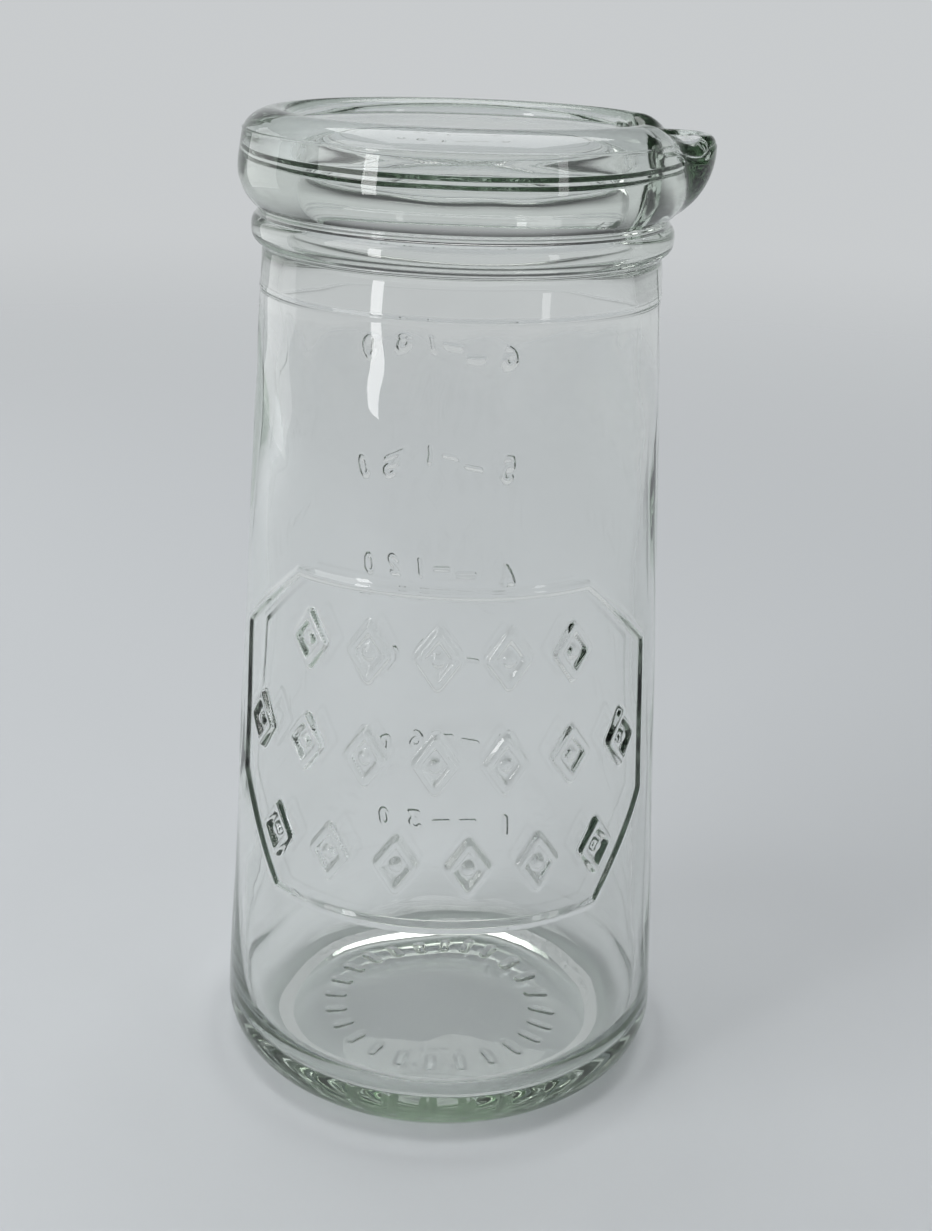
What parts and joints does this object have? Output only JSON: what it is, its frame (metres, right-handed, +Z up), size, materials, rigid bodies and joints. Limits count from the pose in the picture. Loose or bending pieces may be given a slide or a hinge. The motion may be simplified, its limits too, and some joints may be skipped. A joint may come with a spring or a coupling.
{
  "type": "urine specimen glass",
  "caption": "Tapered clear glass bottle with a thick rounded rim, a pouring lip, a neck bead, a raised eight-sided panel and a moulded scale of volumes.",
  "frame": {"origin": "on the axis of the glass, in the plane of the ring that it stands on", "axes": "+Z up along the axis of the glass; +X towards the pouring lip; -Y towards the framed panel; +Y towards the scale of volumes"},
  "size_m": [0.06, 0.06, 0.126],
  "materials": {
    "clear_glass": "fire-polished moulded soda-lime glass with a faint green tint"
  },
  "bodies": {
    "root": {"base": "clear_glass", "body_wall": "clear_glass", "neck_bead": "clear_glass", "rim": "clear_glass", "pouring_lip": "clear_glass", "base_ribs": "clear_glass", "panel_frame": "clear_glass", "panel_upper_row": "clear_glass", "panel_middle_row": "clear_glass", "panel_lower_row": "clear_glass", "volume_marks": "clear_glass", "volume_numbers": "clear_glass", "ounce_marks": "clear_glass", "ounce_numbers": "clear_glass"}
  },
  "joints": []
}
